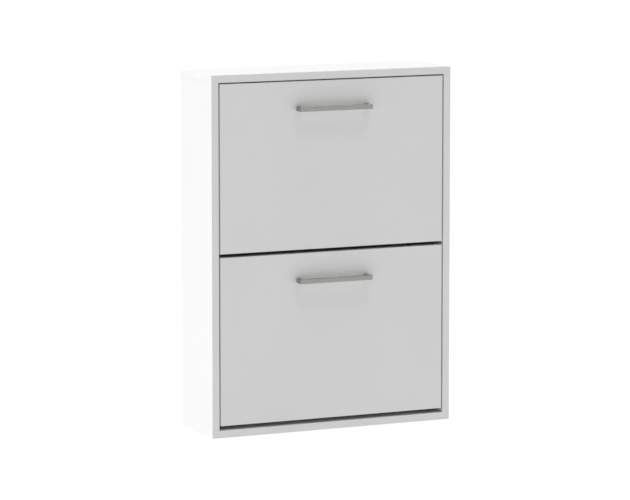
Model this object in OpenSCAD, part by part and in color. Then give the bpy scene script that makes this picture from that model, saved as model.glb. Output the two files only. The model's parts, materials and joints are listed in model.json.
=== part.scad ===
// Shoe cabinet with two tip-out flaps, in millimetres. +Z is up, the doors face -Y and +X is to
// the right of someone who faces the doors. The origin is on the floor, under the middle of the
// carcass. Each flap is drawn about its own pivot axis and then set in place.

/* [Carcass] */
// Width over the side panels
cabinet_w = 560; // [440:1:700]
// Depth from the front edges to the outside of the back panel
cabinet_d = 170; // [150:1:210]
// Height from the floor to the top
cabinet_h = 770; // [640:1:960]
// Thickness of the melamine boards
board_t = 16; // [15:0.5:20]
// Thickness of the hardboard back panel
back_t = 3; // [2.5:0.5:4]
// How far the back panel stops short of the outline
back_inset = 2; // [1:0.5:4]
// Height of the two cross rails
rail_h = 40; // [36:1:60]

/* [Doors] */
// Gap between a side edge of a door and the side panel
side_gap = 3; // [1.5:0.1:4]
// Gap between the upper door and the top panel
top_gap = 3; // [1.5:0.1:4]
// Room left above the lower door when the upper door's corner dips
middle_swing_clear = 1.6; // [1:0.1:4]
// Room left above the bottom panel when the lower door's corner dips
bottom_swing_clear = 3.1; // [1:0.1:6]

/* [Handles] */
// Distance between the two screws
handle_pitch = 160; // [96:32:256]
// Width of each leg, seen from the front
handle_leg_w = 10; // [9:0.5:14]
// Height of the bar
handle_h = 10; // [7:0.5:12]
// How far the handle stands out from the door
handle_out = 23; // [20:1:35]
// Thickness of the bar, front to back
handle_bar_t = 10; // [6:0.5:12]
// Distance from the door's upper edge down to the handle's centre line
handle_down = 58; // [30:1:90]

/* [Pivots] */
// Angle at which a flap meets its open stop
open_angle = 45; // [35:1:50]
// Distance from the back face of a door to the pivot axis
pivot_behind_door = 9; // [8:0.5:12]
// Height of the pivot axis above the lower edge of a door
pivot_up = 46; // [40:1:60]
// Radius of a pivot pin
pin_r = 4; // [3:0.25:4.5]
// Radial play of a pin in its socket
pin_play = 0.08; // [0.04:0.01:0.1]
// Distance from the pivot axis to the stop lug
stop_reach = 34; // [28:1:38]
// Radius of the stop lug and of the stop peg
stop_r = 4; // [3:0.5:5]
// Thickness of a pivot plate
pivot_plate_t = 4; // [3.5:0.5:5]

/* [Shoe holders] */
// Gap between a side panel and the outside of a cheek
cheek_side_gap = 12; // [11:0.5:16]
// Width of a cheek with its lip
cheek_w = 12; // [10:0.5:18]
// Wall thickness of a cheek
cheek_t = 3; // [2.5:0.5:4]
// Gap between the cheeks and the back panel
cheek_back_clear = 10; // [6:1:20]
// Gap between the path of a cheek's top corner and the rail above it
cheek_rail_clear = 36; // [10:1:80]
// Depth of a cheek at its top edge, behind the pivot axis
cheek_top_back = 66; // [40:1:80]
// Height above the pivot axis at which the back edge of a cheek starts to lean forward
cheek_upright_h = 62; // [45:1:80]
// Thickness of the tray
tray_t = 6; // [4:0.5:10]
// Thickness of the rear board
rear_board_t = 3; // [2.5:0.5:5]
// Radius of the shoe rod
rod_r = 4; // [3:0.5:6]
// Distance from the top of the cheeks down to the shoe rod
rod_below_top = 76; // [60:1:90]

/* [Fittings] */
// Length of a cam bolt's shank, from the seam to the middle of the cam
cam_reach = 24; // [20:1:34]
// Radius of a cam lock
cam_r = 7.4; // [6:0.1:7.5]
// Thickness of a cam lock
cam_t = 12; // [10:0.5:12.5]
// Radius of a wooden dowel
dowel_r = 4; // [3:0.5:5]
// Length of a wooden dowel
dowel_l = 28; // [20:1:32]
// Length of a dowel inside the face of a board
dowel_in_face = 9; // [7:0.5:11]
// Distance from the outside of a side panel to a wall fixing
wall_hole_from_side = 80; // [60:1:120]
// Radius of a wall fixing hole
wall_hole_r = 2.75; // [2:0.25:4]
// Distance from the top of the carcass down to the wall fixings
wall_hole_down = 43; // [36:1:60]

/* [Hidden] */
$fn = 48;

// Colours
white = [0.93, 0.93, 0.92];
inner_white = [0.86, 0.86, 0.85];
hardboard_colour = [0.52, 0.40, 0.28];
nickel = [0.66, 0.64, 0.61];
zinc = [0.72, 0.73, 0.75];
grey_plastic = [0.62, 0.63, 0.64];
beech = [0.80, 0.66, 0.47];
rubber_grey = [0.45, 0.45, 0.45];

// Clearances
hole_clear = 0.05; // radial, round a screw, nail, dowel or bolt in its hole
end_clear = 0.5; // between the end of a fastener and the bottom of its hole
fit_gap = 0.1; // either side of a board in its groove
eps = 0.01; // overshoot of a cut through a face

// Carcass planes
front_y = -cabinet_d / 2;
back_y = cabinet_d / 2;
board_back_y = back_y - back_t; // back edges of the boards
inner_w = cabinet_w - 2 * board_t;
inner_x = inner_w / 2;
ceiling_z = cabinet_h - board_t;

// Pivots: a door's lower front corner dips by swing_drop as the flap opens
pivot_back = board_t + pivot_behind_door;
swing_drop = norm([pivot_back, pivot_up]) - pivot_up;
middle_gap = swing_drop + middle_swing_clear;
bottom_gap = swing_drop + bottom_swing_clear;
pivot_y = front_y + pivot_back;

// Doors
door_w = inner_w - 2 * side_gap;
door_h = (cabinet_h - 2 * board_t - top_gap - middle_gap - bottom_gap) / 2;
lower_door_z = board_t + bottom_gap;
upper_door_z = lower_door_z + door_h + middle_gap;
lower_pivot_z = lower_door_z + pivot_up;
upper_pivot_z = upper_door_z + pivot_up;
door_back = -pivot_behind_door; // a door's back face, from the pivot axis

// Rails and the bumpers on them
bumper_t = 1.8;
bumper_r = 5;
bumper_play = 0.2; // between a bumper and the closed door
bumper_from_side = 60;
rail_front_y = front_y + board_t + bumper_play + bumper_t;
rail_below_door = 1.5; // the middle rail's top, below the lower door's upper edge
top_rail_z = ceiling_z - rail_h;
middle_rail_z = lower_door_z + door_h - rail_below_door - rail_h;
rail_fitting_step = 10; // bolt below and dowel above a rail's centre line
bumper_spots = [
    for (rail_z = [middle_rail_z, top_rail_z], side = [-1, 1])
        [side * (inner_x - bumper_from_side), rail_front_y, rail_z + rail_h / 2]
];

// Handles
handle_l = handle_pitch + handle_leg_w;
handle_z = door_h - pivot_up - handle_down; // above the pivot axis
handle_corner_r = 3;
handle_edge_r = 0.5;
handle_screw_r = 2;
handle_screw_bite = 9; // length of thread inside the handle
handle_hole_r = 2.5;

// Cheeks: outline points are [back, up] from the pivot axis
cheek_x = inner_x - cheek_side_gap; // outside face
cheek_inner_x = cheek_x - cheek_w;
cheek_back = board_back_y - cheek_back_clear - pivot_y;
cheek_lift = 1; // a cheek's lower edge above a door's lower edge
cheek_bottom = cheek_lift - pivot_up;
cheek_reach = middle_rail_z - lower_pivot_z - cheek_rail_clear;
cheek_top = sqrt(cheek_reach * cheek_reach - cheek_top_back * cheek_top_back);
cheek_corners = [
    [door_back, cheek_bottom], [cheek_back, cheek_bottom], [cheek_back, cheek_upright_h],
    [cheek_top_back, cheek_top], [door_back, cheek_top]
];
cheek_radii = [1, 20, 30, 14, 4];
cheek_flange_w = 26; // width of the strip that is screwed to the door
hub_clear = 0.5; // between a hub and the plane of the door's back face
hub_r = pivot_behind_door - hub_clear;
groove_rib_t = 2.5;
rod_wall = 3;
rod_end_clear = 1;

// Tray and rear board
board_end_clear = 0.5; // between a board's end and a cheek's wall
holder_board_w = 2 * (cheek_x - cheek_t - board_end_clear);
tray_front = door_back + cheek_t + board_end_clear;
tray_back = cheek_back - cheek_radii[1];
tray_z = cheek_bottom + cheek_t + fit_gap;
rear_board_y = cheek_back - cheek_t - fit_gap - rear_board_t;
rear_board_z = cheek_bottom + cheek_radii[1];
lean = (cheek_back - cheek_top_back) / (cheek_top - cheek_upright_h); // of the cheeks' back edge
lean_arc_h = cheek_radii[2] * tan(atan(lean) / 2); // straight edge lost to the arc where it leans
rear_board_top = cheek_upright_h - lean_arc_h;

// The shoe rod lies just inside the leaning back edge of the cheeks
rod_edge_clear = 8;
rod_up = cheek_top - rod_below_top;
rod_from_edge = rod_r + rod_edge_clear;
rod_back = cheek_back - lean * (rod_up - cheek_upright_h) - rod_from_edge * norm([1, lean]);

// Pivot pins
pin_head_clear = 0.5; // between a pin's head and the strip on the door
pin_head_r = pivot_behind_door - cheek_t - pin_head_clear;
pin_head_t = 2;
pin_end_clear = 1; // between the pin and the side panel

// Pivot plates: corner centres are [back, up] from the pivot axis
plate_boss_t = 3;
plate_boss_r = hub_r - 1;
boss_sink = 1; // how deep the boss and the peg start inside the plate
thrust_gap = 1; // between a cheek's hub and the boss on the plate
plate_screw_reach = 44;
plate_corners = [[0, 0], [plate_screw_reach, 0], [0, plate_screw_reach]];
plate_x = inner_x - pivot_plate_t;
hub_out = plate_x - plate_boss_t - thrust_gap - cheek_x;

// Open stop: the lug turns with the cheek and meets the peg on the plate
lug_angle = 100; // from straight up towards the back, with the flap closed
stop_play = 0.5; // degrees between lug and peg at the open limit
touch_angle = 2 * asin(stop_r / stop_reach);
peg_angle = lug_angle - open_angle - touch_angle - stop_play;
stop_end_clear = 2; // past the end of the lug and of the peg
stop_out = plate_x - cheek_x - stop_end_clear;

// Screws: [head radius, head height, shank radius, length under the head]
cheek_screw = [3.5, 2.2, 1.75, 13];
plate_screw = [3.4, 2, 1.6, 13];
bracket_screw = [3.5, 2.2, 1.75, 12];
handle_screw = [4, 2.4, handle_screw_r, board_t + handle_screw_bite];
cheek_screw_in = 7; // from a cheek's lip to its screws
cheek_screw_end = 14; // from a cheek's lower and upper edge to its end screws
cheek_screw_x = cheek_inner_x - cheek_screw_in;
cheek_screw_heights = [
    cheek_bottom + cheek_screw_end, (cheek_bottom + cheek_top) / 2, cheek_top - cheek_screw_end
];

// Wall brackets
bracket_w = 22;
bracket_t = 2;
bracket_leg = 44;
bracket_screw_steps = [16, 32]; // from the back of the bracket
wall_hole_z = cabinet_h - wall_hole_down;
wall_hole_x = cabinet_w / 2 - wall_hole_from_side;

// Fittings of the corner and rail joints
cam_bolt_r = 3;
cam_thread_r = 2.5;
cam_thread_l = 11;
cam_bolt_play = 0.3; // radial, round a bolt inside its cam
cam_slot = [1.4, 9, 2.4]; // width, length and depth of the driver slot
cam_from_front = 60;
cam_from_back = 32;
corner_cam_ys = [front_y + cam_from_front, board_back_y - cam_from_back];
corner_dowel_y = (corner_cam_ys[0] + corner_cam_ys[1]) / 2;
rail_mid_y = rail_front_y + board_t / 2;
side_mid_x = inner_x + board_t / 2;

// Nails
nail_r = 0.7;
nail_head_r = 1.6;
nail_head_t = 0.8;
nail_l = 20;
side_nails = 5;
cross_nails = 4;
nail_end_margin = 45;

function unit(v) = v / norm(v);
function turned(v, a) = [v[0] * cos(a) - v[1] * sin(a), v[0] * sin(a) + v[1] * cos(a)];
function on_circle(r, angle) = [r * sin(angle), r * cos(angle)];

// Arc that rounds the corner b of a convex, anticlockwise outline between a and c
function corner_arc(a, b, c, r, steps = 8) =
    let (
        to_a = unit(a - b),
        to_c = unit(c - b),
        half = acos(to_a * to_c) / 2,
        centre = b + unit(to_a + to_c) * r / sin(half),
        start = b + to_a * r / tan(half) - centre
    )
    [for (i = [0:steps]) centre + turned(start, (180 - 2 * half) * i / steps)];

// Convex outline with every corner rounded by its own radius
function rounded(points, radii) =
    let (n = len(points))
    [for (i = [0:n - 1]) each corner_arc(points[(i + n - 1) % n], points[i], points[(i + 1) % n], radii[i])];

// Convex outline moved inwards by a distance, or outwards if it is negative
function inset(points, distance) =
    let (n = len(points))
    [
        for (i = [0:n - 1])
            let (
                to_a = unit(points[(i + n - 1) % n] - points[i]),
                to_c = unit(points[(i + 1) % n] - points[i])
            )
            points[i] + (to_a + to_c) * distance / abs(cross(to_a, to_c))
    ];

function cheek_outline(distance) =
    rounded(inset(cheek_corners, distance), [for (r = cheek_radii) max(r - distance, 0.5)]);

// A box between two corners
module block(low, high) {
    translate(low) cube(high - low);
}

// A cylinder along X from x_low to x_high, with its axis at [back, up]
module cross_pin(r, x_low, x_high, centre = [0, 0]) {
    translate([x_low, centre[0], centre[1]]) rotate([0, 90, 0]) cylinder(r = r, h = x_high - x_low);
}

// A drawing in [back, up] made solid from x_low to x_high
module side_view(x_low, x_high) {
    translate([x_low, 0, 0]) rotate([90, 0, 90]) linear_extrude(x_high - x_low) children();
}

// The children, and the children mirrored to the other side of the cabinet
module both_sides() {
    children();
    mirror([1, 0, 0]) children();
}

module at_pivot(z) {
    translate([0, pivot_y, z]) children();
}

// How much longer than its fastener a hole is
function extra(clear) = clear > 0 ? end_clear : 0;

// A pan-head screw: the head stands on z = 0 and the shank points down. Its hole has no head.
module pan_screw(size, clear = 0) {
    if (clear == 0) cylinder(r = size[0], h = size[1]);
    translate([0, 0, -size[3] - extra(clear)])
        cylinder(r = size[2] + clear, h = size[3] + extra(clear) + eps);
}

// A countersunk screw: the top of the head is at z = 0 and the shank points down
module flush_screw(size, clear = 0) {
    translate([0, 0, -size[1]])
        cylinder(r1 = size[2] + clear, r2 = size[0] + clear, h = size[1] + (clear > 0 ? eps : 0));
    translate([0, 0, -size[3] - extra(clear)])
        cylinder(r = size[2] + clear, h = size[3] + extra(clear) - size[1] + eps);
}

// Where a fastener sits in a corner joint: the seam is at z = 0, z > 0 is in the face of the top
// or bottom panel, z < 0 is in the edge of a side panel, and +X points into the cabinet
module at_corner_seams(y) {
    both_sides() {
        translate([side_mid_x, y, ceiling_z]) rotate([0, 0, 180]) children();
        translate([side_mid_x, y, board_t]) rotate([0, 180, 0]) children();
    }
}

// The same for a rail: z > 0 is in the face of a side panel and +X points to the back
module at_rail_seams(step) {
    both_sides()
        for (z = [top_rail_z, middle_rail_z])
            translate([inner_x, rail_mid_y, z + rail_h / 2 + step]) rotate([90, 0, 90]) children();
}

module at_cams() {
    for (y = corner_cam_ys) at_corner_seams(y) children();
    at_rail_seams(-rail_fitting_step) children();
}

module dowel(clear) {
    translate([0, 0, dowel_in_face - dowel_l - extra(clear)])
        cylinder(r = dowel_r + clear, h = dowel_l + 2 * extra(clear));
}

module dowels(clear = 0) {
    at_corner_seams(corner_dowel_y) dowel(clear);
    at_rail_seams(rail_fitting_step) dowel(clear);
}

module bolt(clear) {
    translate([0, 0, -cam_reach - extra(clear)])
        cylinder(r = cam_bolt_r + clear, h = cam_reach + extra(clear));
    translate([0, 0, -eps]) cylinder(r = cam_thread_r + clear, h = cam_thread_l + extra(clear) + eps);
}

// A cam lock's disc, or the pocket that it lies in
module cam_disc(clear) {
    translate([board_t / 2 - cam_t - clear, 0, -cam_reach])
        rotate([0, 90, 0]) cylinder(r = cam_r + clear, h = cam_t + clear + (clear > 0 ? eps : 0));
}

module cam_lock() {
    difference() {
        cam_disc(0);
        bolt(cam_bolt_play);
        translate([board_t / 2 - cam_slot[2], -cam_slot[1] / 2, -cam_reach - cam_slot[0] / 2])
            cube([cam_slot[2] + eps, cam_slot[1], cam_slot[0]]);
    }
}

module nail(clear) {
    rotate([-90, 0, 0]) {
        translate([0, 0, -nail_head_t])
            cylinder(r = nail_head_r + clear, h = nail_head_t + (clear > 0 ? eps : 0));
        translate([0, 0, -nail_l - extra(clear)])
            cylinder(r = nail_r + clear, h = nail_l - nail_head_t + extra(clear) + eps);
    }
}

module nails(clear = 0) {
    for (i = [0:side_nails - 1], side = [-1, 1]) {
        step = (cabinet_h - 2 * nail_end_margin) / (side_nails - 1);
        translate([side * side_mid_x, back_y, nail_end_margin + i * step]) nail(clear);
    }
    for (i = [0:cross_nails - 1], z = [board_t / 2, cabinet_h - board_t / 2]) {
        step = 2 * (inner_x - nail_end_margin) / (cross_nails - 1);
        translate([i * step - inner_x + nail_end_margin, back_y, z]) nail(clear);
    }
}

module plate_screws(clear = 0) {
    both_sides()
        for (z = [lower_pivot_z, upper_pivot_z], i = [1, 2])
            translate([plate_x, pivot_y + plate_corners[i][0], z + plate_corners[i][1]])
                rotate([0, -90, 0]) flush_screw(plate_screw, clear);
}

module bracket_screw_set(clear = 0) {
    both_sides()
        for (step = bracket_screw_steps)
            translate([wall_hole_x, board_back_y - step, ceiling_z - bracket_t])
                rotate([180, 0, 0]) pan_screw(bracket_screw, clear);
}

module wall_holes() {
    both_sides()
        translate([wall_hole_x, board_back_y - bracket_t - eps, wall_hole_z])
            rotate([-90, 0, 0]) cylinder(r = wall_hole_r, h = bracket_t + back_t + 2 * eps);
}

// A board of the carcass with the holes of every fitting that reaches it
module bored_board(low, high) {
    difference() {
        block(low, high);
        dowels(hole_clear);
        at_cams() bolt(hole_clear);
        at_cams() cam_disc(hole_clear);
        nails(hole_clear);
        children();
    }
}

module side_panel() {
    bored_board([inner_x, front_y, board_t], [cabinet_w / 2, board_back_y, ceiling_z])
        plate_screws(hole_clear);
}

module left_side_panel() {
    color(white) mirror([1, 0, 0]) side_panel();
}

module right_side_panel() {
    color(white) side_panel();
}

module top_panel() {
    color(white)
        bored_board([-cabinet_w / 2, front_y, ceiling_z], [cabinet_w / 2, board_back_y, cabinet_h])
            bracket_screw_set(hole_clear);
}

module bottom_panel() {
    color(white) bored_board([-cabinet_w / 2, front_y, 0], [cabinet_w / 2, board_back_y, board_t]);
}

module back_panel() {
    reach = cabinet_w / 2 - back_inset;
    color(hardboard_colour) difference() {
        block([-reach, board_back_y, back_inset], [reach, back_y, cabinet_h - back_inset]);
        nails(hole_clear);
        wall_holes();
    }
}

module rail(z) {
    color(inner_white)
        bored_board([-inner_x, rail_front_y, z], [inner_x, rail_front_y + board_t, z + rail_h]);
}

module top_rail() {
    rail(top_rail_z);
}

module middle_rail() {
    rail(middle_rail_z);
}

module corner_dowels() {
    color(beech) dowels();
}

module cam_bolts() {
    color(zinc) at_cams() bolt(0);
}

module cam_locks() {
    color(zinc) at_cams() cam_lock();
}

module back_nails() {
    color(zinc) nails();
}

module wall_brackets() {
    x_low = wall_hole_x - bracket_w / 2;
    inner_corner = [x_low + bracket_w, board_back_y, ceiling_z];
    color(zinc) difference() {
        both_sides() {
            block([x_low, board_back_y - bracket_leg, ceiling_z - bracket_t], inner_corner);
            block([x_low, board_back_y - bracket_t, wall_hole_z - bracket_w / 2], inner_corner);
        }
        bracket_screw_set(hole_clear);
        wall_holes();
    }
}

module bracket_screws() {
    color(zinc) bracket_screw_set();
}

module door_bumpers() {
    color(rubber_grey)
        for (spot = bumper_spots)
            translate(spot) rotate([90, 0, 0]) cylinder(r = bumper_r, h = bumper_t);
}

// The socket plate of the right-hand side, in pivot coordinates
module pivot_plate() {
    color(grey_plastic) difference() {
        union() {
            side_view(plate_x, inner_x)
                polygon(rounded(inset(plate_corners, -hub_r), [hub_r, hub_r, hub_r]));
            cross_pin(plate_boss_r, plate_x - plate_boss_t, plate_x + boss_sink);
            cross_pin(stop_r, plate_x - stop_out, plate_x + boss_sink, on_circle(stop_reach, peg_angle));
        }
        cross_pin(pin_r + pin_play, plate_x - plate_boss_t - eps, inner_x + eps);
        for (i = [1, 2])
            translate([plate_x, plate_corners[i][0], plate_corners[i][1]])
                rotate([0, -90, 0]) flush_screw(plate_screw, hole_clear);
    }
}

module upper_left_pivot_plate() {
    at_pivot(upper_pivot_z) mirror([1, 0, 0]) pivot_plate();
}

module upper_right_pivot_plate() {
    at_pivot(upper_pivot_z) pivot_plate();
}

module lower_left_pivot_plate() {
    at_pivot(lower_pivot_z) mirror([1, 0, 0]) pivot_plate();
}

module lower_right_pivot_plate() {
    at_pivot(lower_pivot_z) pivot_plate();
}

module pivot_plate_screws() {
    color(zinc) plate_screws();
}

// The pieces of a flap, in pivot coordinates

module handle_screw_set(clear = 0) {
    both_sides()
        translate([handle_pitch / 2, door_back, handle_z])
            rotate([-90, 0, 0]) pan_screw(handle_screw, clear);
}

module cheek_screw_set(clear = 0) {
    both_sides()
        for (z = cheek_screw_heights)
            translate([cheek_screw_x, door_back + cheek_t, z])
                rotate([-90, 0, 0]) pan_screw(cheek_screw, clear);
}

module door() {
    color(white) difference() {
        block([-door_w / 2, -pivot_back, -pivot_up], [door_w / 2, door_back, door_h - pivot_up]);
        cheek_screw_set(hole_clear);
        both_sides()
            translate([handle_pitch / 2, -pivot_back - eps, handle_z])
                rotate([-90, 0, 0]) cylinder(r = handle_hole_r, h = board_t + 2 * eps);
    }
}

// Seen from above, a bar between two legs, with the two front corners rounded
module handle() {
    x = handle_l / 2;
    inner = x - handle_leg_w;
    outline = rounded(
        [[-x, -handle_out], [x, -handle_out], [x, 0], [-x, 0]],
        [handle_corner_r, handle_corner_r, handle_edge_r, handle_edge_r]
    );
    color(nickel) difference() {
        translate([0, -pivot_back, handle_z - handle_h / 2]) linear_extrude(handle_h) difference() {
            polygon(outline);
            translate([-inner, handle_bar_t - handle_out]) square([2 * inner, handle_out]);
        }
        handle_screw_set(hole_clear);
    }
}

module handle_screws() {
    color(zinc) handle_screw_set();
}

// The cheek of the right-hand side: a pan with a lip, a strip on the door, a hub, a lug and grooves
module cheek() {
    wall_x = cheek_x - cheek_t;
    color(grey_plastic) difference() {
        union() {
            side_view(wall_x, cheek_x) polygon(cheek_outline(0));
            side_view(cheek_inner_x, cheek_x) difference() {
                polygon(cheek_outline(0));
                polygon(cheek_outline(cheek_t));
            }
            block(
                [cheek_x - cheek_flange_w, door_back, cheek_bottom + cheek_radii[0]],
                [cheek_x, door_back + cheek_t, cheek_top - cheek_radii[4]]
            );
            cross_pin(hub_r, cheek_inner_x, cheek_x + hub_out);
            cross_pin(stop_r, wall_x, cheek_x + stop_out, on_circle(stop_reach, lug_angle));
            cross_pin(rod_r + rod_wall, cheek_inner_x, wall_x + eps, [rod_back, rod_up]);
            block(
                [cheek_inner_x, door_back + cheek_t - eps, tray_z + tray_t + fit_gap],
                [wall_x + eps, tray_back, tray_z + tray_t + fit_gap + groove_rib_t]
            );
            block(
                [cheek_inner_x, rear_board_y - fit_gap - groove_rib_t, rear_board_z],
                [wall_x + eps, rear_board_y - fit_gap, rear_board_top]
            );
        }
        cross_pin(pin_r + hole_clear, cheek_inner_x - eps, cheek_x + hub_out + eps);
        cross_pin(rod_r + hole_clear, cheek_inner_x - eps, wall_x, [rod_back, rod_up]);
        cheek_screw_set(hole_clear);
    }
}

module cheek_screws() {
    color(zinc) cheek_screw_set();
}

module tray() {
    color(inner_white)
        block([-holder_board_w / 2, tray_front, tray_z], [holder_board_w / 2, tray_back, tray_z + tray_t]);
}

module rear_board() {
    color(inner_white) block(
        [-holder_board_w / 2, rear_board_y, rear_board_z],
        [holder_board_w / 2, rear_board_y + rear_board_t, rear_board_top]
    );
}

module shoe_rod() {
    reach = cheek_x - cheek_t - rod_end_clear;
    color(nickel) cross_pin(rod_r, -reach, reach, [rod_back, rod_up]);
}

module pivot_pins() {
    color(zinc) both_sides() {
        cross_pin(pin_head_r, cheek_inner_x - pin_head_t, cheek_inner_x);
        cross_pin(pin_r, cheek_inner_x - eps, inner_x - pin_end_clear);
    }
}

// The upper flap

module upper_door() {
    at_pivot(upper_pivot_z) door();
}

module upper_handle() {
    at_pivot(upper_pivot_z) handle();
}

module upper_handle_screws() {
    at_pivot(upper_pivot_z) handle_screws();
}

module upper_left_cheek() {
    at_pivot(upper_pivot_z) mirror([1, 0, 0]) cheek();
}

module upper_right_cheek() {
    at_pivot(upper_pivot_z) cheek();
}

module upper_tray() {
    at_pivot(upper_pivot_z) tray();
}

module upper_rear_board() {
    at_pivot(upper_pivot_z) rear_board();
}

module upper_shoe_rod() {
    at_pivot(upper_pivot_z) shoe_rod();
}

module upper_cheek_screws() {
    at_pivot(upper_pivot_z) cheek_screws();
}

module upper_pivot_pins() {
    at_pivot(upper_pivot_z) pivot_pins();
}

// The lower flap

module lower_door() {
    at_pivot(lower_pivot_z) door();
}

module lower_handle() {
    at_pivot(lower_pivot_z) handle();
}

module lower_handle_screws() {
    at_pivot(lower_pivot_z) handle_screws();
}

module lower_left_cheek() {
    at_pivot(lower_pivot_z) mirror([1, 0, 0]) cheek();
}

module lower_right_cheek() {
    at_pivot(lower_pivot_z) cheek();
}

module lower_tray() {
    at_pivot(lower_pivot_z) tray();
}

module lower_rear_board() {
    at_pivot(lower_pivot_z) rear_board();
}

module lower_shoe_rod() {
    at_pivot(lower_pivot_z) shoe_rod();
}

module lower_cheek_screws() {
    at_pivot(lower_pivot_z) cheek_screws();
}

module lower_pivot_pins() {
    at_pivot(lower_pivot_z) pivot_pins();
}

left_side_panel();
right_side_panel();
top_panel();
bottom_panel();
back_panel();
top_rail();
middle_rail();
corner_dowels();
cam_bolts();
cam_locks();
back_nails();
wall_brackets();
bracket_screws();
door_bumpers();
upper_left_pivot_plate();
upper_right_pivot_plate();
lower_left_pivot_plate();
lower_right_pivot_plate();
pivot_plate_screws();
upper_door();
upper_handle();
upper_handle_screws();
upper_left_cheek();
upper_right_cheek();
upper_tray();
upper_rear_board();
upper_shoe_rod();
upper_cheek_screws();
upper_pivot_pins();
lower_door();
lower_handle();
lower_handle_screws();
lower_left_cheek();
lower_right_cheek();
lower_tray();
lower_rear_board();
lower_shoe_rod();
lower_cheek_screws();
lower_pivot_pins();
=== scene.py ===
import json
import math

import bmesh
import bpy
from mathutils import Matrix, Vector


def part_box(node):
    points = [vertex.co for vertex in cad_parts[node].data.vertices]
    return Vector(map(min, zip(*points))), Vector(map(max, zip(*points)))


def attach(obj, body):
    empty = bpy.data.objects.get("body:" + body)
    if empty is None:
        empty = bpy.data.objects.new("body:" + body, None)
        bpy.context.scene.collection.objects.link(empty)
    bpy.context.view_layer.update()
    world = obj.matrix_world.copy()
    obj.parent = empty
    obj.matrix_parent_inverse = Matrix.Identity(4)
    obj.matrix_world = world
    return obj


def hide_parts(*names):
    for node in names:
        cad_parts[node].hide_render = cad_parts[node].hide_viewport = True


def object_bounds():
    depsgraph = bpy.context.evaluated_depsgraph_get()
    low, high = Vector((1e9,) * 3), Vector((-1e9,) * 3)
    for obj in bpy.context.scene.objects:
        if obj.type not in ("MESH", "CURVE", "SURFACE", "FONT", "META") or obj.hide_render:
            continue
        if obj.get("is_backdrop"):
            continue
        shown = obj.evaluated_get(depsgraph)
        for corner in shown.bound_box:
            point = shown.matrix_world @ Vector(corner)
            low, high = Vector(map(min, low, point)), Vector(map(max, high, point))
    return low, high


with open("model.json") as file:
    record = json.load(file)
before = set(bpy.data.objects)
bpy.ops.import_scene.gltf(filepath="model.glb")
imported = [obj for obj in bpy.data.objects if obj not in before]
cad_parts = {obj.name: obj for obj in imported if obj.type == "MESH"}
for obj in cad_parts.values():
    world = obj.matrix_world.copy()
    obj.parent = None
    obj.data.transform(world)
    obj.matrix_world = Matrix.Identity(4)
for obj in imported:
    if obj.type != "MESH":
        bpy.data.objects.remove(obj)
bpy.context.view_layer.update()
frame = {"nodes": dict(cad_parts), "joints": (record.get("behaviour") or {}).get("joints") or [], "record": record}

# Looks of a white shoe cabinet with two tip-out flaps. Everything is in metres, in the CAD frame:
# +Z is up, the doors face -Y and the origin is on the floor, under the middle of the carcass.

MM = 0.001

BAND = 1.0 * MM  # thickness of the edge band
ARRIS = 0.4 * MM  # radius of a band's outer edges
SEAM = 0.12 * MM  # chamfer where two strips or boards meet
FLAPS = ("upper", "lower")
SIDES = ("left", "right")


# ---------------------------------------------------------------- finishes

def add_node(tree, kind, links=(), **settings):
    """A shader node. links are (input name or index, output socket or constant) pairs."""
    made = tree.nodes.new(kind)
    for key, value in settings.items():
        setattr(made, key, value)
    for name, source in links:
        if isinstance(source, bpy.types.NodeSocket):
            tree.links.new(source, made.inputs[name])
        else:
            made.inputs[name].default_value = source
    return made


def new_finish(name, metallic=0.0):
    """An empty Principled material, and the object coordinates that its textures use."""
    material = bpy.data.materials.new(name)
    material.use_nodes = True
    tree = material.node_tree
    shader = tree.nodes["Principled BSDF"]
    shader.inputs["Metallic"].default_value = metallic
    place = add_node(tree, "ShaderNodeTexCoord").outputs["Object"]
    return material, tree, shader, place


def noise(tree, place, size, stretch=(1, 1, 1), detail=3.0, rough=0.55):
    """Noise whose features are about size metres, drawn out along an axis where stretch is small."""
    moved = add_node(tree, "ShaderNodeMapping", [("Vector", place), ("Scale", stretch)])
    made = add_node(
        tree, "ShaderNodeTexNoise",
        [("Vector", moved.outputs[0]), ("Scale", 1 / size), ("Detail", detail), ("Roughness", rough)],
    )
    return made.outputs["Fac"]


def ramp(tree, factor, stops):
    """Colours placed along a factor."""
    made = add_node(tree, "ShaderNodeValToRGB", [("Fac", factor)])
    elements = made.color_ramp.elements
    while len(elements) < len(stops):
        elements.new(0.5)
    for element, (position, colour) in zip(elements, stops):
        element.position = position
        element.color = (*colour, 1.0)
    return made.outputs["Color"]


def between(tree, factor, low, high):
    """The factor's usual range, 0.3 to 0.7, spread from low to high."""
    made = add_node(
        tree, "ShaderNodeMapRange",
        [("Value", factor), ("From Min", 0.3), ("From Max", 0.7), ("To Min", low), ("To Max", high)],
    )
    return made.outputs["Result"]


def bumped(tree, shader, height, depth, strength=1.0, under=None):
    """Relief of the given depth in metres, on the shader's normal."""
    links = [("Height", height), ("Distance", depth), ("Strength", strength)]
    if under is not None:
        links.append(("Normal", under))
    made = add_node(tree, "ShaderNodeBump", links)
    tree.links.new(made.outputs["Normal"], shader.inputs["Normal"])
    return made.outputs["Normal"]


def plain_finish(name, pale, dark, patch, grain, rough, depth, stretch=(1, 1, 1), metallic=0.0):
    """A finish whose colour drifts over patches and whose gloss and relief follow a fine grain.
    patch, grain and depth are in metres, and rough is the lowest and highest roughness."""
    material, tree, shader, place = new_finish(name, metallic)
    slow = noise(tree, place, patch, stretch)
    fine = noise(tree, place, grain, stretch, detail=4.0)
    tree.links.new(ramp(tree, slow, [(0.35, dark), (0.65, pale)]), shader.inputs["Base Color"])
    tree.links.new(between(tree, fine, *rough), shader.inputs["Roughness"])
    bumped(tree, shader, fine, depth)
    return material


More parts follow.
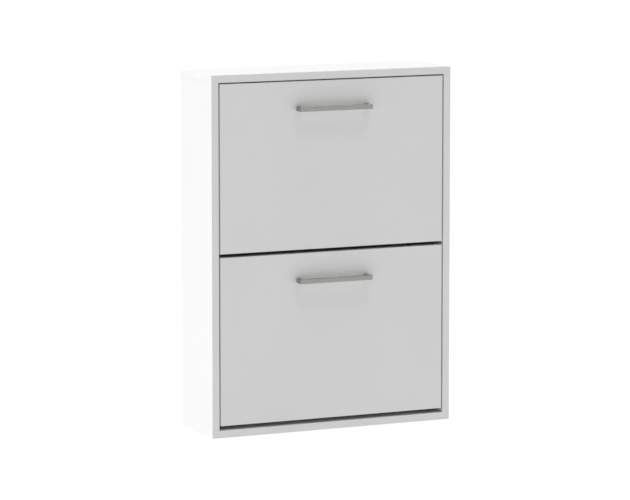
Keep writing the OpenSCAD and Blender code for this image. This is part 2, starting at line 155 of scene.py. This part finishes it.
def chipboard_finish():
    """Raw edge of a chipboard panel: pressed flakes, coarse in the middle."""
    material, tree, shader, place = new_finish("raw_chipboard")
    flakes = add_node(
        tree, "ShaderNodeTexVoronoi",
        [("Vector", place), ("Scale", 420.0), ("Randomness", 1.0)],
    )
    mottled = noise(tree, place, 2.5 * MM, (1, 1, 1), 5.0)
    tree.links.new(
        ramp(tree, mottled, [(0.3, (0.26, 0.16, 0.08)), (0.5, (0.47, 0.33, 0.19)), (0.7, (0.64, 0.50, 0.33))]),
        shader.inputs["Base Color"],
    )
    shader.inputs["Roughness"].default_value = 0.85
    bumped(tree, shader, flakes.outputs["Distance"], 0.3 * MM, 0.8)
    return material


def hardboard_finish():
    """The rough face of hardboard: brown felted fibre with the print of the wire mesh."""
    material, tree, shader, place = new_finish("hardboard_rough_face")
    fibre = noise(tree, place, 4 * MM, (1, 1, 2.5), 8.0, 0.7)
    cloud = noise(tree, place, 120 * MM, (1, 1, 1), 2.0)
    browns = [(0.3, (0.20, 0.115, 0.058)), (0.55, (0.31, 0.195, 0.105)), (0.75, (0.40, 0.27, 0.155))]
    colour = ramp(tree, fibre, browns)
    shade = add_node(
        tree, "ShaderNodeMix", [("Factor", between(tree, cloud, 0.0, 0.22))], data_type="RGBA", blend_type="MULTIPLY",
    )
    tree.links.new(colour, shade.inputs["A"])
    shade.inputs["B"].default_value = (0.62, 0.56, 0.50, 1.0)
    tree.links.new(shade.outputs["Result"], shader.inputs["Base Color"])
    shader.inputs["Roughness"].default_value = 0.8
    relief = bumped(tree, shader, fibre, 0.15 * MM)
    for direction in ("X", "Z"):
        wires = add_node(
            tree, "ShaderNodeTexWave",
            [("Vector", place), ("Scale", 160.0), ("Distortion", 0.6), ("Detail Scale", 1.0)],
            bands_direction=direction,
        )
        relief = bumped(tree, shader, wires.outputs["Fac"], 0.12 * MM, 0.6, relief)
    return material


def beech_finish():
    """Grooved beech dowel stock, with the grain along the dowel."""
    material, tree, shader, place = new_finish("beech_wood")
    grain = noise(tree, place, 1.6 * MM, (1, 1, 0.12), 6.0)
    tree.links.new(
        ramp(tree, grain, [(0.3, (0.42, 0.26, 0.13)), (0.7, (0.66, 0.47, 0.28))]), shader.inputs["Base Color"],
    )
    shader.inputs["Roughness"].default_value = 0.7
    bumped(tree, shader, grain, 0.1 * MM)
    return material


MELAMINE = plain_finish(
    "white_melamine_face", (0.842, 0.850, 0.843), (0.828, 0.836, 0.829), 180 * MM, 0.7 * MM, (0.36, 0.46), 0.012 * MM,
)
EDGE_BAND = plain_finish(
    "white_edge_band", (0.842, 0.850, 0.843), (0.831, 0.839, 0.832), 90 * MM, 0.5 * MM, (0.30, 0.40), 0.008 * MM,
)
CHIPBOARD = chipboard_finish()
HARDBOARD = hardboard_finish()
WHITE_LACQUER = plain_finish(
    "white_lacquered_hardboard", (0.80, 0.795, 0.775), (0.775, 0.77, 0.75), 60 * MM, 1.2 * MM, (0.38, 0.52),
    0.02 * MM,
)
NICKEL = plain_finish(
    "brushed_satin_nickel", (0.37, 0.353, 0.334), (0.33, 0.315, 0.298), 30 * MM, 0.35 * MM, (0.14, 0.24), 0.003 * MM,
    (0.04, 1, 1), metallic=1.0,
)
ZINC = plain_finish(
    "zinc_plated_steel", (0.66, 0.67, 0.69), (0.56, 0.57, 0.60), 6 * MM, 0.4 * MM, (0.26, 0.42), 0.01 * MM,
    metallic=1.0,
)
PLASTIC = plain_finish(
    "grained_grey_abs", (0.50, 0.51, 0.515), (0.475, 0.485, 0.49), 50 * MM, 0.45 * MM, (0.42, 0.58), 0.02 * MM,
)
BEECH = beech_finish()
RUBBER = plain_finish(
    "soft_grey_bumper", (0.42, 0.42, 0.42), (0.37, 0.37, 0.37), 4 * MM, 0.6 * MM, (0.55, 0.75), 0.02 * MM,
)
BOARD_FINISHES = (MELAMINE, EDGE_BAND, CHIPBOARD)


# ---------------------------------------------------------------- mesh tools

def boxed(low, high):
    """A box as a bmesh."""
    made = bmesh.new()
    bmesh.ops.create_cube(made, size=1.0)
    low, high = Vector(low), Vector(high)
    for vert in made.verts:
        vert.co = Vector(low[i] + (vert.co[i] + 0.5) * (high[i] - low[i]) for i in range(3))
    return made


def rounded_edges(shape, edges, radius, steps):
    """Bevels the edges. One step makes a chamfer."""
    bmesh.ops.bevel(
        shape, geom=list(edges), offset=radius, offset_type="OFFSET", segments=steps, profile=0.5,
        affect="EDGES", clamp_overlap=False,
    )


def sharp_edges(shape, angle):
    """Convex edges whose faces turn by more than the angle, in degrees."""
    limit = math.radians(angle)
    return [e for e in shape.edges if len(e.link_faces) == 2 and e.is_convex and e.calc_face_angle() > limit]


def merge(target, source, material=None):
    """Adds source to target and frees it. A material index goes on all its faces."""
    if material is not None:
        for face in source.faces:
            face.material_index = material
    carrier = bpy.data.meshes.new("carrier")
    source.to_mesh(carrier)
    source.free()
    target.from_mesh(carrier)
    bpy.data.meshes.remove(carrier)


def lathe(profile, place, axis, steps=48):
    """A turned solid. profile lists (radius, height) from one end on the axis to the other."""
    made = bmesh.new()
    turn = Vector(axis).to_track_quat("Z", "Y").to_matrix().to_4x4()
    spot = Matrix.Translation(place) @ turn
    rings = []
    for radius, height in profile:
        if radius == 0:
            rings.append([made.verts.new(spot @ Vector((0, 0, height)))])
            continue
        angles = [2 * math.pi * i / steps for i in range(steps)]
        rings.append([
            made.verts.new(spot @ Vector((radius * math.cos(a), radius * math.sin(a), height))) for a in angles
        ])
    for low, high in zip(rings, rings[1:]):
        for i in range(steps):
            j = (i + 1) % steps
            corners = [low[i % len(low)], low[j % len(low)], high[j % len(high)], high[i % len(high)]]
            made.faces.new(list(dict.fromkeys(corners)))
    bmesh.ops.recalc_face_normals(made, faces=made.faces)
    return made


def carved(shape, cutters):
    """The shape with every cutter taken out of it."""
    solid = bpy.data.meshes.new("solid")
    shape.to_mesh(solid)
    tool = bmesh.new()
    for cutter in cutters:
        merge(tool, cutter)
    tool_mesh = bpy.data.meshes.new("tool")
    tool.to_mesh(tool_mesh)
    tool.free()
    body = bpy.data.objects.new("carve_body", solid)
    knife = bpy.data.objects.new("carve_tool", tool_mesh)
    for item in (body, knife):
        bpy.context.scene.collection.objects.link(item)
    cut = body.modifiers.new("cut", "BOOLEAN")
    cut.operation, cut.solver, cut.object = "DIFFERENCE", "EXACT", knife
    result = bpy.data.meshes.new_from_object(body.evaluated_get(bpy.context.evaluated_depsgraph_get()))
    shape.clear()
    shape.from_mesh(result)
    for item in (body, knife):
        bpy.data.objects.remove(item)
    for spare in (solid, tool_mesh, result):
        bpy.data.meshes.remove(spare)
    return shape


def cad_shape(node):
    """A CAD node's mesh as a bmesh, with its seams closed and its flat faces whole."""
    made = bmesh.new()
    made.from_mesh(frame["nodes"][node].data)
    for face in made.faces:
        face.material_index = 0
    bmesh.ops.remove_doubles(made, verts=made.verts, dist=1e-6)
    bmesh.ops.dissolve_limit(made, angle_limit=math.radians(0.5), verts=made.verts, edges=made.edges)
    return made


def islands(node):
    """(lowest corner, highest corner) of each separate solid in a CAD node."""
    shape = bmesh.new()
    shape.from_mesh(frame["nodes"][node].data)
    bmesh.ops.remove_doubles(shape, verts=shape.verts, dist=1e-6)
    seen, found = set(), []
    for start in shape.verts:
        if start in seen:
            continue
        seen.add(start)
        todo, group = [start], []
        while todo:
            vert = todo.pop()
            group.append(vert.co)
            for edge in vert.link_edges:
                other = edge.other_vert(vert)
                if other not in seen:
                    seen.add(other)
                    todo.append(other)
        found.append((
            Vector(min(co[i] for co in group) for i in range(3)),
            Vector(max(co[i] for co in group) for i in range(3)),
        ))
    shape.free()
    return found


def piece(name, shape, body, nodes, finishes, crease=50):
    """Makes the bmesh a piece that stands for CAD nodes, moves with a body and has a material slot."""
    mesh = bpy.data.meshes.new(name)
    shape.to_mesh(mesh)
    shape.free()
    for finish in finishes:
        mesh.materials.append(finish)
    mesh.shade_smooth()
    mesh.set_sharp_from_angle(angle=math.radians(crease))
    made = bpy.data.objects.new(name, mesh)
    bpy.context.scene.collection.objects.link(made)
    flat = made.modifiers.new("even_normals", "WEIGHTED_NORMAL")
    flat.keep_sharp = True
    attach(made, body)
    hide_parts(*nodes)
    return made


def body_of(node):
    """The moving body that a CAD node belongs to."""
    for body, members in frame["record"]["behaviour"]["bodies"].items():
        if node in members:
            return body


def dress(node, shape, finishes, crease=50):
    """A piece that stands for one CAD node, with the node's own body and slot."""
    return piece(node + "_look", shape, body_of(node), [node], finishes, crease)


# ---------------------------------------------------------------- boards

def band_strip(low, high, axis, sign, wraps):
    """An edge band: its outer edges are rounded, and its outer ends too where it wraps a corner."""
    strip = boxed(low, high)
    outer = high[axis] if sign > 0 else low[axis]
    spans = [abs(high[i] - low[i]) if i != axis else 0 for i in range(3)]
    along = spans.index(max(spans))
    chosen = [
        e for e in strip.edges
        if all(abs(v.co[axis] - outer) < 1e-7 for v in e.verts)
        and (wraps or abs(e.verts[0].co[along] - e.verts[1].co[along]) > 1e-6)
    ]
    rounded_edges(strip, chosen, ARRIS, 4)
    rounded_edges(strip, sharp_edges(strip, 60), SEAM, 1)
    return strip


def board(node, banded, wraps=(), cutters=()):
    """A melamine board the size of its CAD node. banded lists the edges with a band, such as "-y", in
    the order they are glued on; those in wraps also cover the ends of the bands before them."""
    low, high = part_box(node)
    low, high = low.copy(), high.copy()
    sides = [("xyz".index(name[1]), 1 if name[0] == "+" else -1, name in wraps) for name in banded]
    for axis, sign, _ in sides:
        if sign > 0:
            high[axis] -= BAND
        else:
            low[axis] += BAND
    thin = min(range(3), key=lambda i: high[i] - low[i])
    shape = boxed(low, high)
    rounded_edges(shape, sharp_edges(shape, 60), SEAM, 1)
    for face in shape.faces:
        face.material_index = 0 if abs(face.normal[thin]) > 0.5 else 2
    if cutters:
        shape = carved(shape, cutters)
    for axis, sign, wrap in sides:
        strip_low, strip_high = low.copy(), high.copy()
        if sign > 0:
            strip_low[axis] = high[axis]
            strip_high[axis] = high[axis] = high[axis] + BAND
        else:
            strip_high[axis] = low[axis]
            strip_low[axis] = low[axis] = low[axis] - BAND
        merge(shape, band_strip(strip_low, strip_high, axis, sign, wrap), 1)
    return dress(node, shape, BOARD_FINISHES)


def cam_pockets(axis, sign, inside):
    """Round pockets for the cams whose axis is along X or Y and which lie inside the box."""
    low, high = inside
    cutters = []
    for cam_low, cam_high in islands("cam_locks"):
        centre = (cam_low + cam_high) / 2
        if not all(low[i] - MM < centre[i] < high[i] + MM for i in range(3)):
            continue
        radius = (cam_high.z - cam_low.z) / 2 + 0.1 * MM
        direction = Vector((0, 0, 0))
        direction[axis] = sign
        depth = cam_high[axis] - cam_low[axis]
        centre[axis] = cam_low[axis] if sign > 0 else cam_high[axis]
        past, flare = depth + 0.7 * MM, radius + MM
        profile = [(0, 0), (radius, 0), (radius, depth - 0.3 * MM), (flare, past), (0, past)]
        cutters.append(lathe(profile, centre, direction))
    return cutters


for side, inward in zip(SIDES, (1, -1)):
    node = side + "_side_panel"
    board(node, ["-y"], cutters=cam_pockets(0, inward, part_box(node)))
for node in ("top_panel", "bottom_panel"):
    board(node, ["-y", "-x", "+x"], wraps=["-x", "+x"])
for node in ("top_rail", "middle_rail"):
    board(node, ["-z", "+z"], cutters=cam_pockets(1, 1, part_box(node)))
for flap in FLAPS:
    board(flap + "_door", ["-z", "+z", "-x", "+x"], wraps=["-x", "+x"])
    board(flap + "_tray", ["-y", "+y"])


def thin_sheet(node, outer, inner, cutters=()):
    """A sheet of hardboard with one finish on the face towards +Y and on the edges, and one towards -Y."""
    low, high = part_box(node)
    shape = boxed(low, high)
    rounded_edges(shape, sharp_edges(shape, 60), 0.25 * MM, 1)
    for face in shape.faces:
        face.material_index = 1 if face.normal.y < -0.5 else 0
    if cutters:
        shape = carved(shape, cutters)
    return dress(node, shape, (outer, inner))


back_cutters = []
for low, high in islands("back_nails"):
    centre, head_r = (low + high) / 2, (high.x - low.x) / 2
    centre.y = high.y
    seat = [(0, -0.9 * MM), (head_r + 0.1 * MM, -0.9 * MM), (head_r + 0.7 * MM, 0.1 * MM), (0, 0.1 * MM)]
    back_cutters.append(lathe(seat, centre, (0, 1, 0), 24))
wall_mount = next(m for m in frame["record"]["mounts"] if m["name"] == "wall_holes")
for side in (-1, 1):
    spot = Vector(wall_mount["pos_m"])
    spot.x = side * wall_mount["dims"]["spacing_x_mm"] / 2 * MM
    hole_r = wall_mount["dims"]["hole_r_mm"] * MM
    past = 5 * MM  # how far the cutter stands past the middle of the sheet, on both sides
    back_cutters.append(lathe([(0, -past), (hole_r, -past), (hole_r, past), (0, past)], spot, (0, 1, 0)))
thin_sheet("back_panel", HARDBOARD, WHITE_LACQUER, back_cutters)
for flap in FLAPS:
    thin_sheet(flap + "_rear_board", HARDBOARD, WHITE_LACQUER)


# ---------------------------------------------------------------- handles and rods

def offset_outline(points, distance):
    """A closed, anticlockwise outline moved inwards."""
    moved = []
    for i, point in enumerate(points):
        before, after = points[i - 1], points[(i + 1) % len(points)]
        d1, d2 = (point - before).normalized(), (after - point).normalized()
        n1, n2 = Vector((-d1.y, d1.x)), Vector((-d2.y, d2.x))
        moved.append(point + (n1 + n2) * (distance / (1 + n1.dot(n2))))
    return moved


def fillet(before, corner, after, radius, steps):
    """Points of the arc that rounds a right-angled corner."""
    a, b = (before - corner).normalized(), (after - corner).normalized()
    centre = corner + (a + b) * radius
    return [
        centre - b * radius * math.cos(t) - a * radius * math.sin(t)
        for t in (math.pi / 2 * i / steps for i in range(steps + 1))
    ]


def bow_handle(node):
    """A bar between two legs, cut from flat stock, with every edge eased."""
    low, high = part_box(node)
    leg_w, bar_t, edge = 10 * MM, 10 * MM, 1.0 * MM
    inner_low, inner_high = low.x + leg_w, high.x - leg_w
    bar_back = low.y + bar_t
    corners = [  # each with the radius of its arc in mm
        ((low.x, low.y), 3.0), ((high.x, low.y), 3.0), ((high.x, high.y), 0.0), ((inner_high, high.y), 0.0),
        ((inner_high, bar_back), 1.6), ((inner_low, bar_back), 1.6),
        ((inner_low, high.y), 0.0), ((low.x, high.y), 0.0),
    ]
    outline = []
    for i, (corner, radius) in enumerate(corners):
        corner = Vector(corner)
        before, after = Vector(corners[i - 1][0]), Vector(corners[(i + 1) % len(corners)][0])
        outline += fillet(before, corner, after, radius * MM, 8) if radius else [corner]
    levels = []
    for step in range(5):
        turn = math.pi / 2 * step / 4
        levels.append((low.z + edge * (1 - math.sin(turn)), edge * (1 - math.cos(turn))))
    levels = levels[::-1] + [(low.z + high.z - z, inset) for z, inset in levels]
    shape = bmesh.new()
    rings = []
    for z, inset in levels:
        rings.append([shape.verts.new((p.x, p.y, z)) for p in offset_outline(outline, inset)])
    for under, over in zip(rings, rings[1:]):
        for i in range(len(under)):
            j = (i + 1) % len(under)
            shape.faces.new([under[i], under[j], over[j], over[i]])
    shape.faces.new(rings[0][::-1])
    shape.faces.new(rings[-1])
    bmesh.ops.recalc_face_normals(shape, faces=shape.faces)
    return dress(node, shape, [NICKEL], 60)


def rod(node, finish, chamfer):
    """A round bar along X with chamfered ends."""
    low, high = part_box(node)
    radius = (high.z - low.z) / 2
    centre = (low + high) / 2
    centre.x = low.x
    length = high.x - low.x
    inner = radius - chamfer
    profile = [(0, 0), (inner, 0), (radius, chamfer), (radius, length - chamfer), (inner, length), (0, length)]
    return dress(node, lathe(profile, centre, (1, 0, 0)), [finish], 30)


for flap in FLAPS:
    bow_handle(flap + "_handle")
    rod(flap + "_shoe_rod", NICKEL, 0.8 * MM)


# ---------------------------------------------------------------- plastic and sheet metal

SHARP = 40  # degrees: edges that turn by more are eased, and stay crisp in the shading


def eased(node, radius):
    """The CAD node's own shape with its edges rounded."""
    shape = cad_shape(node)
    rounded_edges(shape, sharp_edges(shape, SHARP), radius, 2)
    return shape


def rib(start, end, low_x, high_x, thickness):
    """A moulded rib between two (y, z) points, from low_x to high_x."""
    start, end = Vector((0, *start)), Vector((0, *end))
    along = end - start
    made = boxed((low_x, 0, -thickness / 2), (high_x, along.length, thickness / 2))
    rounded_edges(made, sharp_edges(made, 60), 0.3 * MM, 1)
    turn = Matrix.Rotation(math.atan2(along.z, along.y), 4, "X")
    made.transform(Matrix.Translation(start) @ turn)
    return made


def cheek(node, joint, rod_node):
    """A moulded side piece of a shoe holder: the CAD shape, eased, with stiffening ribs in its pan."""
    low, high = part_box(node)
    shape = eased(node, 0.4 * MM)
    hub_y, hub_z = joint["pos_m"][1:]
    rod_low, rod_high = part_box(rod_node)
    rod_y, rod_z = (rod_low.y + rod_high.y) / 2, (rod_low.z + rod_high.z) / 2
    wall_x, rib_x, rib_t = 249.5 * MM, 243.5 * MM, 1.6 * MM  # the ribs grow from the wall to rib_x
    span = (rib_x, wall_x) if low.x > 0 else (-wall_x, -rib_x)
    front_y, back_y, middle_y = low.y + 3 * MM, hub_y + 122 * MM, hub_y + 52 * MM
    over_tray_z, over_strip_z, top_z = hub_z - 33 * MM, hub_z + 70 * MM, high.z - 2 * MM
    lines = [
        ((hub_y, hub_z), (rod_y, rod_z)),
        ((hub_y, hub_z), (back_y, hub_z + 40 * MM)),
        ((front_y, over_strip_z), (back_y + 2 * MM, over_strip_z)),
        ((front_y, rod_z), (rod_y + 8 * MM, rod_z)),
        ((middle_y, over_tray_z), (middle_y, top_z)),
        ((hub_y, over_tray_z), (hub_y, top_z)),
    ]
    for start, end in lines:
        merge(shape, rib(start, end, *span, rib_t), 0)
    return dress(node, shape, [PLASTIC], SHARP)


joints = {joint["child"]: joint for joint in frame["joints"]}
for flap in FLAPS:
    for side in SIDES:
        cheek(f"{flap}_{side}_cheek", joints[flap + "_flap"], flap + "_shoe_rod")
        plate = f"{flap}_{side}_pivot_plate"
        dress(plate, eased(plate, 0.4 * MM), [PLASTIC], SHARP)
for node, radius in (("wall_brackets", 0.3 * MM), ("cam_locks", 0.2 * MM)):
    dress(node, eased(node, radius), [ZINC], SHARP)


# ---------------------------------------------------------------- fasteners

def cross_recess(width, reach, depth):
    """Cutters for a cross recess in a head whose top is at z = 0."""
    cutters = []
    for turn in (0, math.pi / 2):
        blade = bmesh.new()
        rings = []
        for z, x, y in ((0.5 * MM, reach, width), (-depth, reach * 0.35, width * 0.6)):
            corners = ((-x, -y), (x, -y), (x, y), (-x, y))
            rings.append([blade.verts.new((*corner, z)) for corner in corners])
        for i in range(4):
            j = (i + 1) % 4
            blade.faces.new([rings[1][i], rings[1][j], rings[0][j], rings[0][i]])
        blade.faces.new(rings[0])
        blade.faces.new(rings[1][::-1])
        bmesh.ops.rotate(blade, verts=blade.verts, cent=(0, 0, 0), matrix=Matrix.Rotation(turn, 3, "Z"))
        bmesh.ops.recalc_face_normals(blade, faces=blade.faces)
        cutters.append(blade)
    return cutters


def screw_shape(head_r, head_h, shank_r, length, flush):
    """A cross-recessed screw whose head's top is at z = 0 and whose shank points to -Z."""
    if flush:
        head = [(0, 0), (head_r - 0.15 * MM, 0), (head_r, -0.15 * MM), (shank_r, -head_h)]
    else:
        head = [(0, 0)]
        for step in range(1, 7):
            turn = math.pi / 2 * step / 6
            head.append((head_r * math.sin(turn) ** 0.8, -head_h * 0.75 * (1 - math.cos(turn))))
        head += [(head_r - 0.1 * MM, -head_h), (shank_r, -head_h)]
    profile = head + [(shank_r, -length + MM), (0, -length)]
    shape = lathe(profile, (0, 0, 0), (0, 0, 1), 32)
    for blade in cross_recess(0.42 * MM, head_r * 0.62, 1.5 * MM):
        carved(shape, [blade])  # one at a time, because the blades cross
    return shape


def placed(shape, spot, direction, spin):
    """A copy of the shape at a spot, with its +Z turned to a direction and spun about it."""
    copy = shape.copy()
    turn = Vector(direction).to_track_quat("Z", "Y").to_matrix().to_4x4()
    copy.transform(Matrix.Translation(spot) @ turn @ Matrix.Rotation(spin, 4, "Z"))
    return copy


def screw_group(node, finish, size, direction, flush=False, mirrored=False):
    """Screws in place of a CAD node's solids, whose heads point along the direction. size is
    (head radius, head height, shank radius) in mm. mirrored turns those on the +axis side round."""
    axis = max(range(3), key=lambda i: abs(direction[i]))
    found = islands(node)
    length = found[0][1][axis] - found[0][0][axis]
    model = screw_shape(size[0] * MM, size[1] * MM, size[2] * MM, length, flush)
    group = bmesh.new()
    for count, (low, high) in enumerate(found):
        spot = (low + high) / 2
        heading = Vector(direction)
        if mirrored and spot[axis] > 0:
            heading = -heading
        spot[axis] = high[axis] if heading[axis] > 0 else low[axis]
        spin = 0.7 * count  # so that the recesses don't line up
        merge(group, placed(model, spot, heading, spin))
    model.free()
    return dress(node, group, [finish], 35)


screw_group("bracket_screws", ZINC, (3.5, 2.2, 1.75), (0, 0, -1))
screw_group("pivot_plate_screws", ZINC, (3.4, 2.0, 1.6), (1, 0, 0), flush=True, mirrored=True)
for flap in FLAPS:
    screw_group(flap + "_cheek_screws", ZINC, (3.5, 2.2, 1.75), (0, 1, 0))
    screw_group(flap + "_handle_screws", ZINC, (4.0, 2.4, 2.0), (0, 1, 0))


def turned_group(node, finish, direction, make_profile, mirrored=False):
    """Turned solids in place of a CAD node's. make_profile(radius, length) starts at the tip."""
    axis = max(range(3), key=lambda i: abs(direction[i]))
    across = 2 if axis != 2 else 0
    group = bmesh.new()
    for low, high in islands(node):
        spot = (low + high) / 2
        heading = Vector(direction)
        if mirrored and spot[axis] > 0:
            heading = -heading
        radius, length = (high[across] - low[across]) / 2, high[axis] - low[axis]
        spot[axis] = low[axis] if heading[axis] > 0 else high[axis]
        merge(group, lathe(make_profile(radius, length), spot, heading))
    return dress(node, group, [finish], 35)


def nail_profile(radius, length):
    """A pointed nail with a slightly domed head at the far end."""
    shank = 0.7 * MM
    return [
        (0, 0), (shank, 2 * MM), (shank, length - 0.8 * MM),
        (radius - 0.1 * MM, length - 0.6 * MM), (radius, length - 0.4 * MM),
        (radius * 0.8, length - 0.12 * MM), (radius * 0.4, length - 0.02 * MM), (0, length),
    ]


def pin_profile(radius, length):
    """A pivot pin that comes from its head: the head is at the far end."""
    shank, head = 4 * MM, 2 * MM
    return [
        (0, 0), (shank - 0.6 * MM, 0), (shank, 0.6 * MM), (shank, length - head), (radius - 0.2 * MM, length - head),
        (radius, length - head + 0.3 * MM), (radius, length - 0.5 * MM), (radius - 0.5 * MM, length), (0, length),
    ]


def bumper_profile(radius, length):
    """A dot whose side is a third of its height, under a dome."""
    turns = [math.pi / 2 * i / 6 for i in range(6)]
    dome = [(radius * math.cos(t), length * (0.35 + 0.65 * math.sin(t))) for t in turns]
    return [(0, 0), (radius, 0)] + dome + [(0, length)]


turned_group("back_nails", ZINC, (0, 1, 0), nail_profile)
turned_group("door_bumpers", RUBBER, (0, -1, 0), bumper_profile)
for flap in FLAPS:
    turned_group(flap + "_pivot_pins", ZINC, (1, 0, 0), pin_profile, mirrored=True)
for node, finish in (("corner_dowels", BEECH), ("cam_bolts", ZINC)):
    kept = frame["nodes"][node].data.materials
    kept.clear()
    kept.append(finish)


# ---------------------------------------------------------------- floor, light and camera

def floor():
    """A wide pale floor that glows a little, like a lit studio sweep."""
    material = bpy.data.materials.new("pale_floor")
    material.use_nodes = True
    tree = material.node_tree
    shader = tree.nodes["Principled BSDF"]
    place = add_node(tree, "ShaderNodeTexCoord").outputs["Object"]
    tone = noise(tree, place, 2.0)
    greys = [(0.3, (0.055, 0.055, 0.055)), (0.7, (0.065, 0.065, 0.065))]
    tree.links.new(ramp(tree, tone, greys), shader.inputs["Base Color"])
    shader.inputs["Roughness"].default_value = 0.9
    shader.inputs["Specular IOR Level"].default_value = 0.1
    shader.inputs["Emission Color"].default_value = (1.0, 1.0, 1.0, 1.0)
    shader.inputs["Emission Strength"].default_value = 0.955
    shape = bmesh.new()
    bmesh.ops.create_grid(shape, x_segments=1, y_segments=1, size=60.0)
    mesh = bpy.data.meshes.new("floor")
    shape.to_mesh(mesh)
    shape.free()
    mesh.materials.append(material)
    made = bpy.data.objects.new("floor", mesh)
    made.location.z = -0.5 * MM  # clear of the bottom board's underside
    bpy.context.scene.collection.objects.link(made)
    made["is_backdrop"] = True


def sun(name, towards, strength, spread):
    """Even light that comes from a direction, softened by its spread in degrees."""
    lamp = bpy.data.lights.new(name, "SUN")
    lamp.energy = strength
    lamp.angle = math.radians(spread)
    made = bpy.data.objects.new(name, lamp)
    made.rotation_mode = "QUATERNION"
    made.rotation_quaternion = Vector(towards).to_track_quat("Z", "Y")
    bpy.context.scene.collection.objects.link(made)


def studio():
    """A dim even sky for the object, white where the camera sees it."""
    world = bpy.data.worlds.new("studio")
    bpy.context.scene.world = world
    world.use_nodes = True
    tree = world.node_tree
    tree.nodes.clear()
    seen = add_node(tree, "ShaderNodeBackground", [("Color", (1, 1, 1, 1)), ("Strength", 1.0)])
    lit = add_node(tree, "ShaderNodeBackground", [("Color", (1, 1, 1, 1)), ("Strength", 0.29)])
    path = add_node(tree, "ShaderNodeLightPath")
    mixed = add_node(
        tree, "ShaderNodeMixShader", [(0, path.outputs["Is Camera Ray"]), (1, lit.outputs[0]), (2, seen.outputs[0])],
    )
    add_node(tree, "ShaderNodeOutputWorld", [("Surface", mixed.outputs[0])])
    sun("key_from_the_left", (-0.75, 0.35, 0.55), 1.84, 40)
    sun("top_light", (0.0, 0.12, 1.0), 1.47, 30)
    sun("front_fill", (0.04, -0.34, 0.94), 0.40, 16)
    sun("edge_light", (0.42, 0.03, 0.90), 0.65, 24)


def photo_camera():
    """A long lens, a little above the cabinet and to its left."""
    azimuth, elevation, distance = math.radians(-24.929), math.radians(7.696), 7.7179
    back = Vector((
        math.sin(azimuth) * math.cos(elevation), -math.cos(azimuth) * math.cos(elevation), math.sin(elevation),
    ))
    right = Vector((math.cos(azimuth), math.sin(azimuth), 0))
    # The middle of the carcass, moved a little so that the cabinet sits in the frame as it should.
    target = Vector((0, 0, 0.385)) - right * 0.00183 - Vector((0, 0, 0.00818))
    lens = bpy.data.cameras.new("camera")
    lens.lens, lens.sensor_width = 204.71, 36.0
    lens.clip_start, lens.clip_end = 0.1, 300.0
    made = bpy.data.objects.new("camera", lens)
    made.rotation_mode = "QUATERNION"
    made.location = target + back * distance
    made.rotation_quaternion = back.to_track_quat("Z", "Y")
    bpy.context.scene.collection.objects.link(made)
    bpy.context.scene.camera = made


floor()
studio()
photo_camera()
bpy.context.scene.view_settings.view_transform = "Standard"

low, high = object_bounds()
